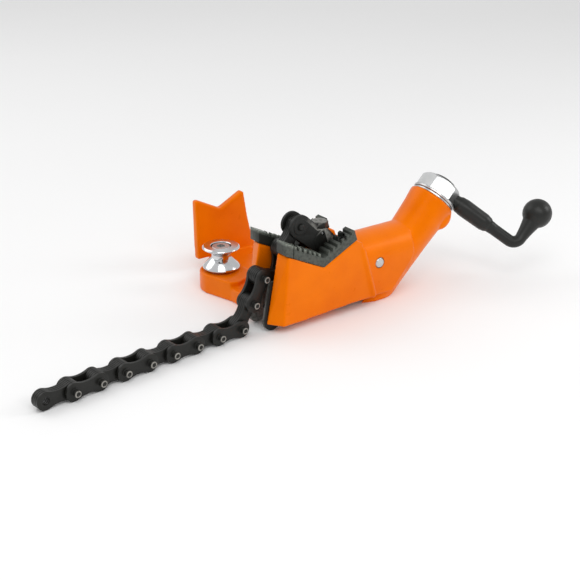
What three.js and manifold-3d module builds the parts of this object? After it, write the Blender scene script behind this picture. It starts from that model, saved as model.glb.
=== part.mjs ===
// Top-screw bench chain vise, in millimetres, +Z up.
// The origin lies on the bench face, under the root of the V jaws, midway between the two cheeks.
// X runs from the loose end of the chain (-X) to the crank (+X), and pipes lie along Y.
import * as THREE from 'three';
import { mergeVertices } from 'three/addons/utils/BufferGeometryUtils.js';
import Module from 'manifold-3d';

const wasm = await Module();
wasm.setup();

// ---------------------------------------------------------------- driving dimensions
const GAP = 0.3;                    // air between pieces that touch
const deg = Math.PI / 180;

const cheek = { inner: 14, outer: 28, neck: 24.5 };        // distances from the mid plane
const vee = { seat: 56, root: 65, slope: 0.48, left: -44, right: 38.5 };
const tooth = { pitch: 6.2, width: 3.4, height: 3.4, first: 4.5 };

const barrel = { rimX: 159, rimZ: 82.2, rimR: 24.2, neckR: 21.6, footR: 20.6, bore: 14.3 };
const nut = { washerR: 24, flangeR: 23.4, flange: 2.4, across: 39, height: 18, spigotR: 12.5, spigot: 34 };
const crank = { turn: -38.5 * deg, rise: 12.5, reach: 97, stem: 40, rod: 6, ball: 15, bend: 10 };

const guidePin = { x: 71, z: 42.5, r: 5 };                  // rocker pivot, across the neck
const draw = { angle: -45.7 * deg, travel: 22 };
const screw = { r: 8, top: 2.6 };

const anchor = { x: -12.5, z: 92.5, r: 11.3 };             // pin that holds the chain's first link
const chain = { pitch: 25.4, end: 8.2, waist: 5.6, inner: 4.8, plate: 3, pin: 3.2, pinHalf: 13.4 };
const headings = [233.5, 265, 168.5, 242, 235, 180, 180, 180, 180, 180, 180, 180, 180];
const sideways = [0, 0, 1.4, 2.8, 4.2, 4.6, 5, 5.4, 5.8, 6.2, 6.6, 7, 7.4];   // degrees, from play in the joints

const roller = { x: -31, y: 100, boss: 20, bossR: 22, top: 45.4, r: 18.7, waist: 9.6 };
const rest = { y0: 146, y1: 154, root: 65, slope: 0.49 };
const boltHoles = [[26, 54], [28, 122], [-16, 58], [-8, 128]];
const boltHoleR = 5.5;

// ---------------------------------------------------------------- materials
const paint = new THREE.MeshStandardMaterial({ color: 0xe87300, roughness: 0.35, metalness: 0 });
const jawSteel = new THREE.MeshStandardMaterial({ color: 0x3f443f, roughness: 0.6, metalness: 0.6 });
const blackSteel = new THREE.MeshStandardMaterial({ color: 0x2f2f2c, roughness: 0.5, metalness: 0.6 });
const brightSteel = new THREE.MeshStandardMaterial({ color: 0xb8b8b8, roughness: 0.3, metalness: 1 });
const chrome = new THREE.MeshStandardMaterial({ color: 0xdcdcdc, roughness: 0.12, metalness: 1 });
const bronze = new THREE.MeshStandardMaterial({ color: 0xb08d57, roughness: 0.4, metalness: 1 });

// ---------------------------------------------------------------- shape helpers
// Merges shared corners, drops flat triangles, and turns the faces outwards.
function closed(geometry) {
  let g = geometry.clone();
  g.deleteAttribute('normal');
  g.deleteAttribute('uv');
  g = mergeVertices(g, 1e-4);
  const p = g.getAttribute('position');
  const index = g.getIndex().array;
  const kept = [];
  let volume = 0;
  const [a, b, c] = [new THREE.Vector3(), new THREE.Vector3(), new THREE.Vector3()];
  for (let i = 0; i < index.length; i += 3) {
    const [i0, i1, i2] = [index[i], index[i + 1], index[i + 2]];
    if (i0 === i1 || i1 === i2 || i2 === i0) continue;
    a.fromBufferAttribute(p, i0);
    b.fromBufferAttribute(p, i1);
    c.fromBufferAttribute(p, i2);
    volume += a.dot(b.cross(c));
    kept.push(i0, i1, i2);
  }
  if (volume < 0) for (let i = 0; i < kept.length; i += 3) [kept[i], kept[i + 1]] = [kept[i + 1], kept[i]];
  g.setIndex(kept);
  return g;
}

function solid(geometry) {
  const g = closed(geometry);
  const vertProperties = new Float32Array(g.getAttribute('position').array);
  const triVerts = new Uint32Array(g.getIndex().array);
  return new wasm.Manifold(new wasm.Mesh({ numProp: 3, vertProperties, triVerts }));
}

function surface(manifold) {
  const mesh = manifold.getMesh();
  const g = new THREE.BufferGeometry();
  g.setAttribute('position', new THREE.BufferAttribute(new Float32Array(mesh.vertProperties), 3));
  g.setIndex(new THREE.BufferAttribute(new Uint32Array(mesh.triVerts), 1));
  return g;
}

// Joins the first list of shapes and cuts the second list from them.
function carve(joined, cut = []) {
  let m = solid(joined[0]);
  for (const g of joined.slice(1)) m = m.add(solid(g));
  for (const g of cut) m = m.subtract(solid(g));
  return surface(m);
}

const shapeOf = (points) => new THREE.Shape(points.map(([x, y]) => new THREE.Vector2(x, y)));

// An outline in X and Z, given thickness from y0 to y1.
function slab(points, y0, y1) {
  const g = new THREE.ExtrudeGeometry(shapeOf(points), { depth: y1 - y0, bevelEnabled: false });
  return g.rotateX(Math.PI / 2).translate(0, y1, 0);
}

// An outline in X and Y, given height from z0 to z1.
function plate(points, z0, z1) {
  return new THREE.ExtrudeGeometry(shapeOf(points), { depth: z1 - z0, bevelEnabled: false }).translate(0, 0, z0);
}

// A turned piece about Z: [radius, z] pairs from one end of the axis to the other.
function turned(profile, segments = 28) {
  return new THREE.LatheGeometry(profile.map(([r, z]) => new THREE.Vector2(r, z)), segments).rotateX(Math.PI / 2);
}

const rod = (r, z0, z1, segments = 24) => turned([[0, z0], [r, z0], [r, z1], [0, z1]], segments);
const crossRod = (x, z, r, y0, y1, segments = 16) => rod(r, -y1, -y0, segments).rotateX(Math.PI / 2).translate(x, 0, z);
const hexRod = (across, z0, z1) => rod(across / Math.sqrt(3), z0, z1, 6);

function arc(x, z, r, from, to, steps) {
  return Array.from({ length: steps + 1 }, (_, i) => {
    const a = (from + (to - from) * i / steps) * deg;
    return [x + r * Math.cos(a), z + r * Math.sin(a)];
  });
}

// The outline round two circles, as a belt lies round two pulleys.
function belt(x0, z0, r0, x1, z1, r1, steps = 12) {
  const along = Math.atan2(z1 - z0, x1 - x0) / deg;
  const lean = Math.acos((r0 - r1) / Math.hypot(x1 - x0, z1 - z0)) / deg;
  return [
    ...arc(x0, z0, r0, along + lean, along + 360 - lean, steps),
    ...arc(x1, z1, r1, along - lean, along + lean, steps),
  ];
}

// A closed skin between two outlines of equal count, one at y0 and one at y1.
function loft(outline0, y0, outline1, y1) {
  const n = outline0.length;
  const corners = [...outline0.map(([x, z]) => [x, y0, z]), ...outline1.map(([x, z]) => [x, y1, z])];
  const caps = THREE.ShapeUtils.triangulateShape(outline0.map(([x, z]) => new THREE.Vector2(x, z)), []);
  const index = [];
  for (const [a, b, c] of caps) index.push(a, b, c, n + c, n + b, n + a);
  for (let i = 0; i < n; i++) {
    const j = (i + 1) % n;
    index.push(j, i, n + i, j, n + i, n + j);
  }
  const g = new THREE.BufferGeometry();
  g.setAttribute('position', new THREE.Float32BufferAttribute(corners.flat(), 3));
  g.setIndex(index);
  return g;
}

const onBarrel = (geometry) => geometry.rotateY(Math.PI / 4).translate(barrel.rimX, 0, barrel.rimZ);
const polar = (x, z, r, a) => [x + r * Math.cos(a), z + r * Math.sin(a)];

// ---------------------------------------------------------------- scene tree
const vise = new THREE.Group();
const barrelFrame = new THREE.Group();                     // Z along the barrel, zero at its rim
barrelFrame.position.set(barrel.rimX, 0, barrel.rimZ);
barrelFrame.rotation.y = Math.PI / 4;
vise.add(barrelFrame);

function add(name, geometry, material, parent = vise) {
  const mesh = new THREE.Mesh(closed(geometry), material);
  mesh.name = name;
  parent.add(mesh);
  return mesh;
}

// ---------------------------------------------------------------- casting
const seatAt = (x) => vee.seat + vee.slope * Math.abs(x);

// One cheek: its left edge flares out towards the chain channel, more at the foot than at the top.
function cheekPlate(side) {
  const rightSide = [[-26, 7.8], [36, 10.2], [63, 10], [46, 70], [38, seatAt(38)], [0, vee.seat]];
  const outside = [[-47, 7], ...rightSide, [-41, seatAt(41)]];
  const inside = [[-56, 8], ...rightSide, [-43.5, seatAt(43.5)]];
  return loft(outside, side * cheek.outer, inside, side * cheek.inner);
}

// The neck joins the cheeks to the barrel under a rounded top.
function neck() {
  const side = [[-cheek.neck, 9], [cheek.neck, 9], [cheek.neck, 44]];
  const crown = Array.from({ length: 13 }, (_, i) => {
    const a = Math.PI * i / 12;
    return [cheek.neck * Math.cos(a), 44 + 25 * Math.sin(a)];
  });
  const g = new THREE.ExtrudeGeometry(shapeOf([...side, ...crown.slice(1)]), { depth: 80, bevelEnabled: false });
  g.rotateX(Math.PI / 2).rotateZ(Math.PI / 2).translate(36, 0, 0);
  const trim = slab([[30, -5], [78, -5], [86, 5], [116, 36], [116, 90], [30, 90]], -40, 40);
  return surface(solid(g).intersect(solid(trim)));
}

function barrelTube() {
  const { rimR, neckR, footR } = barrel;
  return onBarrel(turned([
    [0, -150], [footR, -150], [footR, -80], [neckR, -45], [rimR - 1.2, -15], [rimR, -3], [rimR, -1], [rimR - 1, 0], [0, 0],
  ], 36));
}

// The space between the cheeks that the chain, the draw bar and the rocker work in.
function channel() {
  return slab([
    [-90, -5], [-26, -5], [-26, 16], [26, 16], [26, -5], [95, -5], [96, -1], [120, 23], [100, 43], [84, 55],
    [58, 55], [40, 74], [40, 140], [-90, 140],
  ], -cheek.inner, cheek.inner);
}

function baseFlange() {
  const round = arc(roller.x, roller.y, roller.bossR, 200, 118, 8);
  const far = rest.y1 - 1;
  return plate([[48, 20], [-42, 20], [-44, 64], ...round, [-13, 140], [-13, far], [34, far], [44, 128]], 0, 14);
}

function rollerBoss() {
  return plate([[-36, 62], [-44, 64], ...arc(roller.x, roller.y, roller.bossR, 200, 0, 14), [-9, 72]], 0, roller.boss);
}

// The V rest stands on the far edge of the flange and carries the pipe behind the jaws.
function pipeRest() {
  const top = (x) => rest.root + rest.slope * Math.abs(x);
  return slab([
    [-12, 4], [40, 4], [42, 18], [36.5, 34.5], [33, 50], [28.8, 76.5], [27, top(26.5)], [24.5, top(24.5)],
    [1, rest.root], [-1, rest.root], [-25.5, top(25.5)], [-28.5, top(27)], [-30.5, 76.5], [-29.5, 14], [-12, 14],
  ], rest.y0, rest.y1);
}

function casting() {
  const joined = [cheekPlate(1), cheekPlate(-1), neck(), barrelTube(), baseFlange(), rollerBoss(), pipeRest()];
  const bore = onBarrel(rod(barrel.bore, -72, 1));
  const bushSeat = onBarrel(rod(15.8, -30, 1));
  const underground = slab([[-120, -200], [260, -200], [260, 0], [-120, 0]], -90, 240);
  const pinHole = crossRod(guidePin.x, guidePin.z, guidePin.r + 0.15, -40, 40);
  const holes = boltHoles.map(([x, y]) => rod(boltHoleR, -2, 40, 20).translate(x, y, 0));
  const rollerHole = rod(6.3, -2, 40, 24).translate(roller.x, roller.y, 0);
  const hookHoles = hookScrews.flatMap(({ x, z }) => [-1, 1].map((side) => hookScrewTool(x, z, 2.7, side, 9, 24)));
  const screwHoles = jawScrews.flatMap(({ x, y, lean }) => jawScrewTool(x, y, lean, 2.8, -14));
  const block = carve(joined, [bore, bushSeat, underground, pinHole, ...holes, rollerHole, ...hookHoles]);
  const floorWeb = slab([[-24, 8], [24, 8], [24, 15.7], [-24, 15.7]], -16, 16);
  const foot = slab([[-18, 0], [18, 0], [18, 9], [-18, 9]], -9, 9);
  const open = carve([carve([block], [channel(), ...screwHoles]), floorWeb, foot]);
  return open;
}

// ---------------------------------------------------------------- jaws
const jawScrews = [-1, 1].flatMap((side) => [-26, 25].map((x) => ({ x, y: side * 21, lean: Math.sign(x) })));
const hookScrews = [{ x: -40.5, z: 40 }, { x: -40.5, z: 14 }];

// A rod from the channel out into the cheek on side 1 or -1.
function hookScrewTool(x, z, r, side, from, to) {
  const [y0, y1] = [side * from, side * to].sort((a, b) => a - b);
  return crossRod(x, z, r, y0, y1, 12);
}

// A rod square to one limb of the V, measured from the line of the tooth roots.
function jawScrewTool(x, y, lean, r, from, to = 30) {
  const z = vee.root + vee.slope * Math.abs(x);
  return rod(r, from, to, 16).rotateY(-Math.atan(vee.slope) * lean).translate(x, y, z);
}

// Square-cut teeth climb both limbs of the V.
function jawOutline() {
  const line = (x) => vee.root + vee.slope * Math.abs(x);
  const bottom = [[vee.left, seatAt(vee.left) + GAP], [0, vee.seat + GAP], [vee.right, seatAt(vee.right) + GAP]];
  const limb = (side, end) => {
    const points = [];
    for (let x = tooth.first; x + tooth.width < end; x += tooth.pitch) {
      const [a, b] = [side * x, side * (x + tooth.width)];
      points.push([a, line(a)], [a, line(a) + tooth.height], [b, line(b) + tooth.height], [b, line(b)]);
    }
    return points;
  };
  const right = [...limb(1, vee.right), [vee.right, line(vee.right)]];
  const left = [...limb(-1, -vee.left), [vee.left, line(vee.left)]];
  return [...bottom, ...right.reverse(), [0, vee.root], ...left];
}

function addJaw(name, side) {
  const [y0, y1] = [side * cheek.inner, side * cheek.outer].sort((a, b) => a - b);
  const mine = jawScrews.filter((s) => Math.sign(s.y) === side);
  const cuts = mine.flatMap(({ x, y, lean }) => [
    jawScrewTool(x, y, lean, 2.8, -16),
    jawScrewTool(x, y, lean, 4.7, -4.5),
  ]);
  add(name, carve([slab(jawOutline(), y0, y1)], cuts), jawSteel);
  mine.forEach(({ x, y, lean }, i) => {
    const head = jawScrewTool(x, y, lean, 4.3, -4.2, -0.2);
    const shank = jawScrewTool(x, y, lean, 2.5, -13.5, -4);
    const socket = new THREE.BufferGeometry().copy(hexRod(4, -2.7, 3))
      .rotateY(-Math.atan(vee.slope) * lean).translate(x, y, vee.root + vee.slope * Math.abs(x));
    add(`${name}_screw_${i ? 'right' : 'left'}`, carve([head, shank], [socket]), blackSteel);
  });
}

// ---------------------------------------------------------------- chain hooks
// A hardened plate lines each side of the channel mouth, and the chain's pins catch behind its edge.
function addHook(name, side) {
  const outline = [
    [-50.5, 48], [-57.5, 12], ...arc(-49, 9.6, 9, 190, 300, 8), [-38, 5], ...arc(-46, 38, 10, 0, 90, 6),
  ];
  const [y0, y1] = [side * 9.6, side * 13.7].sort((a, b) => a - b);
  const cuts = hookScrews.map(({ x, z }) => crossRod(x, z, 2.7, -40, 40, 12));
  add(name, carve([slab(outline, y0, y1)], cuts), blackSteel);
  hookScrews.forEach(({ x, z }, i) => {
    add(`${name}_screw_${i ? 'lower' : 'upper'}`, hookScrewTool(x, z, 2.4, side, 9.4, 22), blackSteel);
  });
}

// ---------------------------------------------------------------- draw screw, rocker and draw bar
const barrelDown = -Math.PI / 4;                            // square to the barrel, towards it from the pivot
const chainDown = draw.angle - Math.PI / 2;                 // square to the draw bar, towards it from the pivot
const toScrew = (barrel.rimX - barrel.rimZ - guidePin.x + guidePin.z) / Math.SQRT2;
const swing = Math.atan(draw.travel / 2 / toScrew);         // half of the rocker's arc
const screwEye = polar(guidePin.x, guidePin.z, toScrew / Math.cos(swing), barrelDown + swing);
const toBar = (guidePin.z - anchor.z) * Math.cos(draw.angle) - (guidePin.x - anchor.x) * Math.sin(draw.angle);
const barEye = polar(guidePin.x, guidePin.z, toBar / Math.cos(swing), chainDown + swing);
const screwEyeDepth = -Math.hypot(barrel.rimX - screwEye[0], barrel.rimZ - screwEye[1]);

function addDrawScrew() {
  const eye = screwEyeDepth;
  const fork = slab([
    ...arc(0, eye, 7.5, 180, 360, 12), [7.5, eye + 18], [-7.5, eye + 18],
  ], -10, 10);
  const gap = slab([[-9, eye - 9], [9, eye - 9], [9, eye + 12], [-9, eye + 12]], -5.5, 5.5);
  const shaft = turned([[0, eye + 17], [screw.r, eye + 17], [screw.r, screw.top - 1.5], [screw.r - 1.5, screw.top],
    [0, screw.top]], 32);
  add('draw_screw', carve([fork, shaft], [gap, crossRod(0, eye, 4.2, -20, 20)]), brightSteel, barrelFrame);
  add('screw_clevis_pin', crossRod(0, eye, 3.9, -9.8, 9.8), brightSteel, barrelFrame);
}

function addRocker() {
  const { x, z } = guidePin;
  const screwArm = slab(belt(x, z, 10, ...screwEye, 7.5), -5, 5);
  const barArms = [[5.4, 9.4], [-9.4, -5.4]].map(([y0, y1]) => slab(belt(x, z, 10, ...barEye, 6.6), y0, y1));
  const near = polar(x, z, toScrew - 0.6, barrelDown + swing);
  const far = polar(x, z, toScrew / Math.cos(swing) + 0.6, barrelDown + swing);
  const slot = slab(belt(...near, 4.35, ...far, 4.34), -20, 20);
  const hub = crossRod(x, z, 10, -13.4, 13.4);
  const cuts = [slot, crossRod(...barEye, 4.2, -20, 20), crossRod(x, z, guidePin.r + GAP, -20, 20)];
  add('rocker', carve([hub, screwArm, ...barArms], cuts), blackSteel);
  add('guide_pin', crossRod(x, z, guidePin.r, -cheek.neck - 0.7, cheek.neck + 0.7), brightSteel);
}

const alongBar = (u, v) => [
  anchor.x + u * Math.cos(draw.angle) - v * Math.sin(draw.angle),
  anchor.z + u * Math.sin(draw.angle) + v * Math.cos(draw.angle),
];
const clampBolt = { x: 15.5, seat: 85, r: 3.5, across: 14.5 };
const barHalf = 6.4;

function addDrawBar() {
  const start = alongBar(12, 0);
  const bar = slab(belt(...barEye, 6.6, ...start, barHalf - 0.4), -4.8, 4.8);
  const headRoom = crossRod(anchor.x, anchor.z, 9.4, -20, 20);
  const cuts = [crossRod(...barEye, 4.2, -20, 20), rod(3.9, 30, 120, 20).translate(clampBolt.x, 0, 0), headRoom];
  add('draw_bar', carve([bar], cuts), blackSteel);
  add('draw_bar_pin', crossRod(...barEye, 3.9, -9.3, 9.3), brightSteel);
}

// The end block forks over the chain's first link at one end and over the draw bar at the other.
function addEndBlock() {
  const body = slab(belt(anchor.x, anchor.z, anchor.r, 24, 62, 10), -8.4, 8.4);
  const boss = slab(belt(14, 75, 10.4, 25, 62, 11, 10), -8.4, 8.4);
  const gap = slab([
    [-60, 30], [60, 30], alongBar(64, barHalf + GAP), alongBar(20, barHalf + GAP), [-1, 120], [-60, 120],
  ], -5.1, 5.1);
  const boltHole = rod(clampBolt.r + GAP, 30, 120, 20).translate(clampBolt.x, 0, 0);
  const spotFace = rod(12, clampBolt.seat, 120, 24).translate(clampBolt.x, 0, 0);
  const pinHole = crossRod(anchor.x, anchor.z, chain.pin + 0.2, -20, 20);
  add('end_block', carve([body, boss], [gap, boltHole, spotFace, pinHole]), blackSteel);
  const head = hexRod(clampBolt.across, clampBolt.seat + GAP, clampBolt.seat + 6);
  const shank = rod(clampBolt.r, 56, clampBolt.seat + 1, 20);
  add('end_block_bolt', carve([head, shank]).translate(clampBolt.x, 0, 0), blackSteel);
  add('chain_anchor_pin', crossRod(anchor.x, anchor.z, chain.pin, -11, 11, 20), blackSteel);
}

// ---------------------------------------------------------------- hub nut and crank
// The crank's thick root is an oval turned about the arm; the nut's mouth is the same with room to spare.
const crankRoot = (profile) => turned(profile, 24).scale(0.78, 1, 1).rotateY(Math.PI / 2).translate(0, 0, crank.rise);

function addHub() {
  add('barrel_bush', carve([turned([[0, -29.7], [15.5, -29.7], [15.5, 0], [0, 0]])], [rod(12.8, -40, 5)]), bronze,
    barrelFrame);
  add('thrust_washer', carve([rod(nut.washerR, GAP, 2.3, 36)], [rod(12.8, -5, 5)]), brightSteel, barrelFrame);
  const from = 2.6;
  const flange = rod(nut.flangeR, from, from + nut.flange, 36);
  const top = from + nut.height;
  const hex = hexRod(nut.across, from + 1, top).rotateZ(Math.PI / 6);
  const chamfer = turned([[0, from], [26, from], [26, top - 6], [18.6, top], [0, top]], 36);
  const hexTop = surface(solid(hex).intersect(solid(chamfer)));
  const spigot = rod(nut.spigotR, -nut.spigot, from + 1);
  const blind = rod(screw.r + GAP, -50, 5);
  const armHole = rod(crank.rod + GAP, -9, 40, 24).rotateY(Math.PI / 2).translate(0, 0, crank.rise);
  const mouth = crankRoot([[0, 17.7], [8.3, 17.7], [9.9, 27], [9.9, 40], [0, 40]]);
  const groove = carve([rod(14, -33, -31)], [rod(11, -40, 0)]);
  const lockHole = rod(2.3, crank.rise - 6, 40, 12);
  const turn = new THREE.Group();
  turn.rotation.z = crank.turn;
  barrelFrame.add(turn);
  add('hub_nut', carve([flange, hexTop, spigot], [blind, armHole, mouth, groove, lockHole]), brightSteel, turn);
  const gapAngle = slab([[8, -40], [20, -40], [20, 0], [8, 0]], -3, 3);
  add('retaining_ring', carve([rod(14, -32.8, -31.2)], [rod(11.2, -40, 0), gapAngle]), blackSteel, turn);
  const cap = turned([[0, top + GAP], [14, top + GAP], [14, top + 1.6], [11, top + 3.4], [5, top + 4.4], [0, top + 4.6]]);
  add('hub_cap', cap, blackSteel, turn);
  addCrank(turn);
}

// The crank is one forging: a round shank in the nut, a thick root, the arm, a bend and a ball.
function addCrank(parent) {
  const { rise, reach, stem, rod: r, ball, bend } = crank;
  const path = new THREE.CurvePath();
  const at = (x, z) => new THREE.Vector3(x, 0, z);
  path.add(new THREE.LineCurve3(at(-8, rise), at(reach - bend, rise)));
  path.add(new THREE.QuadraticBezierCurve3(at(reach - bend, rise), at(reach, rise), at(reach, rise + bend)));
  path.add(new THREE.LineCurve3(at(reach, rise + bend), at(reach, rise + stem - ball * 0.6)));
  const section = shapeOf(arc(0, 0, r, 0, 324, 9));
  const bar = new THREE.ExtrudeGeometry(section, { steps: 24, extrudePath: path, bevelEnabled: false });
  const root = crankRoot([[0, 18], [8, 18], [9.6, 27], [9.2, 50], [6.3, 66], [0, 66]]);
  const swell = turned([[0, 0], [6, 0], [6.2, 8], [8.2, 16], [8.2, 20], [0, 20]], 24).translate(reach, 0, rise + 12);
  const knob = new THREE.SphereGeometry(ball, 18, 12).rotateX(Math.PI / 2).translate(reach, 0, rise + stem);
  const lockHole = rod(2.3, rise - 20, 40, 12);
  add('crank_handle', carve([bar, root, swell, knob], [lockHole]), blackSteel, parent);
  add('crank_lock_pin', rod(2, rise - 5.5, 20.3, 12), brightSteel, parent);
}

// ---------------------------------------------------------------- chain
// A waisted link plate from one pin to the next, drawn along -X.
function linkOutline() {
  const { pitch, end, waist } = chain;
  const half = pitch / 2;
  const hollow = (half * half + waist * waist - end * end) / (2 * (end - waist));
  const touch = Math.atan2(hollow + waist, half) / deg;
  const neckArc = (x, z, from, to) => arc(x, z, hollow, from, to, 4).slice(1, -1);
  return [
    ...arc(0, 0, end, -180 + touch, 180 - touch, 9),
    ...neckArc(-half, hollow + waist, -touch, -180 + touch),
    ...arc(-pitch, 0, end, touch, 360 - touch, 9),
    ...neckArc(-half, -hollow - waist, 180 - touch, touch),
  ];
}

function outerLink() {
  const { inner, plate: t, pin, pinHalf, pitch } = chain;
  const outline = linkOutline();
  const plates = [1, -1].map((side) => {
    const [y0, y1] = [side * (inner + GAP), side * (inner + GAP + t)].sort((a, b) => a - b);
    return slab(outline, y0, y1);
  });
  return carve([...plates, crossRod(0, 0, pin, -pinHalf, pinHalf, 10), crossRod(-pitch, 0, pin, -pinHalf, pinHalf, 10)]);
}

function innerLink() {
  const { inner, pin, pitch } = chain;
  const holes = [0, -pitch].map((x) => crossRod(x, 0, pin + GAP, -20, 20, 12));
  return carve([slab(linkOutline(), -inner, inner)], holes);
}

function addChain() {
  const shapes = [innerLink(), outerLink()];
  const at = new THREE.Vector3(anchor.x, 0, anchor.z);
  headings.forEach((heading, i) => {
    const link = add(`chain_link_${String(i + 1).padStart(2, '0')}`, shapes[i % 2], blackSteel);
    link.rotation.order = 'ZYX';
    link.rotation.set(0, (180 - heading) * deg, sideways[i] * deg);
    link.position.copy(at);
    link.updateMatrixWorld();
    at.set(-chain.pitch, 0, 0).applyMatrix4(link.matrixWorld);
  });
}

// ---------------------------------------------------------------- bend roller
function addRoller() {
  const { boss, top, r, waist } = roller;
  const place = new THREE.Group();
  place.position.set(roller.x, roller.y, 0);
  vise.add(place);
  add('roller_washer', carve([rod(11, boss + GAP, boss + 2.2)], [rod(6.3, 0, 60)]), brightSteel, place);
  const profile = [
    [0, boss + 2.5], [r - 1.2, boss + 2.5], [r, boss + 3.7], [r, boss + 5.6], [waist, boss + 12.6],
    [waist, boss + 16.4], [r - 1, boss + 22.4], [r, top - 2.2], [r - 1.6, top], [0, top],
  ];
  const seat = top - 6.6;
  add('bend_roller', carve([turned(profile, 32)], [rod(6.3, 0, 60), rod(10, seat, 60)]), chrome, place);
  const bolt = carve([rod(6, 2, seat + 1), rod(9.2, seat + GAP, top - 0.8)], [hexRod(8, top - 5, 60)]);
  add('roller_bolt', bolt, brightSteel, place);
}

add('body_casting', casting(), paint);
addJaw('front_jaw', -1);
addJaw('rear_jaw', 1);
addHook('front_chain_hook', -1);
addHook('rear_chain_hook', 1);
addRocker();
addDrawScrew();
addDrawBar();
addEndBlock();
addHub();
addChain();
addRoller();

export default vise;
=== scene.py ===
"""A bench chain vise for pipe: casting, jaws, chain, draw screw and crank, laid out as an add-on.

Lengths in the helpers are millimetres and become metres when a mesh is made.
X runs from the loose end of the chain to the crank, Z is up, and a clamped pipe lies along Y.
"""
import math

import bmesh
import bpy
from bpy.props import FloatProperty, FloatVectorProperty, IntProperty, PointerProperty
from mathutils import Matrix, Vector


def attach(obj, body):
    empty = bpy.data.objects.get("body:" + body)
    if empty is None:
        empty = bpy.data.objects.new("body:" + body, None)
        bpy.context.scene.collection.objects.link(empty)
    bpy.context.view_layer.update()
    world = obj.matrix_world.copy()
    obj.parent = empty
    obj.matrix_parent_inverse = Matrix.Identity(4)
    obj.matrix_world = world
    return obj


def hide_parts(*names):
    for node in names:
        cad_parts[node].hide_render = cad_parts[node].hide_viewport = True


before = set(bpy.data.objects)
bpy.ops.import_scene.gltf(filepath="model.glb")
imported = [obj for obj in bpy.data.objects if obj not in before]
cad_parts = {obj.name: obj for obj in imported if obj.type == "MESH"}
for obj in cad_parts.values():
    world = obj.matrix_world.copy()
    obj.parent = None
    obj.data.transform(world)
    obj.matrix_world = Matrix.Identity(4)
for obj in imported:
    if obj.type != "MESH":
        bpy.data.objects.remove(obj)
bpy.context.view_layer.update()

bl_info = {
    "name": "Bench chain vise",
    "version": (1, 0, 0),
    "blender": (4, 5, 0),
    "location": "View3D > Sidebar > Vise",
    "description": "Builds a bench chain vise for pipe around its CAD frame",
    "category": "Add Mesh",
}

MM = 0.001

# Distances from the middle of the casting, and the V that carries the jaws.
CHEEK_IN, CHEEK_OUT, NECK_HALF = 14.0, 28.0, 24.5
SEAT_Z, ROOT_Z, SLOPE = 56.0, 65.0, 0.48
JAW_LEFT, JAW_RIGHT = -44.0, 38.5
BARREL = Matrix.Translation((159.0, 0, 82.2)) @ Matrix.Rotation(math.radians(45), 4, "Y")
CRANK = BARREL @ Matrix.Rotation(math.radians(-38.5), 4, "Z")
ANCHOR = (-12.5, 92.5)
GUIDE_PIN = (71.0, 42.5)
ROLLER = (-31.0, 100.0)
BOLT_HOLES = ((26, 54), (28, 122), (-16, 58), (-8, 128))
JAW_SCREWS = {"left": -26, "right": 25}
HOOK_SCREW_X, HOOK_SCREWS = -40.5, {"upper": 40, "lower": 14}
BLOCK_BOLT_X, BLOCK_BOLT_SEAT, BLOCK_PEG = 15.5, 85.0, (13.5, 80.5)
NUT_ACROSS, NUT_LOW, NUT_HIGH, ARM_RISE = 39.0, 2.6, 20.6, 12.5
# Which way each link points, in degrees above the X axis, and how far it is turned sideways.
HEADINGS = (233.5, 265, 168.5, 242, 235) + (180,) * 8
SIDEWAYS = (0, 0, 1.4, 2.8, 4.2, 4.6, 5, 5.4, 5.8, 6.2, 6.6, 7, 7.4)


# ------------------------------------------------------------------ colours and shader nodes
def linear(hex_colour):
    """An sRGB hex colour as the linear values that Blender works in."""
    parts = [int(hex_colour[i:i + 2], 16) / 255 for i in (1, 3, 5)]
    return tuple(c / 12.92 if c <= 0.04045 else ((c + 0.055) / 1.055) ** 2.4 for c in parts)


def opaque(colour):
    return (*colour[:3], 1.0)


def add_node(tree, kind, inputs=None, **settings):
    """One node; an input may be a value or another node's output socket."""
    node = tree.nodes.new(kind)
    for key, value in settings.items():
        setattr(node, key, value)
    for key, value in (inputs or {}).items():
        if isinstance(value, bpy.types.NodeSocket):
            tree.links.new(value, node.inputs[key])
        else:
            node.inputs[key].default_value = value
    return node


def noise(tree, vector, scale, detail=4.0, rough=0.5):
    node = add_node(tree, "ShaderNodeTexNoise", {
        "Vector": vector, "Scale": scale, "Detail": detail, "Roughness": rough})
    return node.outputs["Fac"]


def spread(tree, value, low, high, out_low=0.0, out_high=1.0):
    node = add_node(tree, "ShaderNodeMapRange", {
        "Value": value, "From Min": low, "From Max": high, "To Min": out_low, "To Max": out_high})
    return node.outputs["Result"]


def blend(tree, amount, first, second):
    node = add_node(tree, "ShaderNodeMix", data_type="RGBA")
    for socket, value in (("Factor_Float", amount), ("A_Color", first), ("B_Color", second)):
        target = next(s for s in node.inputs if s.identifier == socket)
        if isinstance(value, bpy.types.NodeSocket):
            tree.links.new(value, target)
        else:
            target.default_value = value
    return next(s for s in node.outputs if s.identifier == "Result_Color")


def wear_and_light_amount(tree):
    """The piece's own attribute that marks its edges bright from rub wear, and on the jaws and bolt head
    painted light.
    """
    return add_node(tree, "ShaderNodeAttribute", attribute_name="wear_and_light").outputs["Fac"]


def new_material(name):
    """A material with one Principled shader, and its Object coordinates."""
    material = bpy.data.materials.new(name)
    material.use_nodes = True
    tree = material.node_tree
    tree.nodes.clear()
    shader = add_node(tree, "ShaderNodeBsdfPrincipled")
    output = add_node(tree, "ShaderNodeOutputMaterial")
    tree.links.new(shader.outputs["BSDF"], output.inputs["Surface"])
    place = add_node(tree, "ShaderNodeTexCoord").outputs["Object"]
    return material, tree, shader, place


def connect(tree, shader, **sockets):
    """Sets shader inputs by name, with underscores for spaces, from sockets or constants."""
    for key, value in sockets.items():
        target = shader.inputs[key.replace("_", " ")]
        if isinstance(value, bpy.types.NodeSocket):
            tree.links.new(value, target)
        else:
            target.default_value = value


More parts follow.
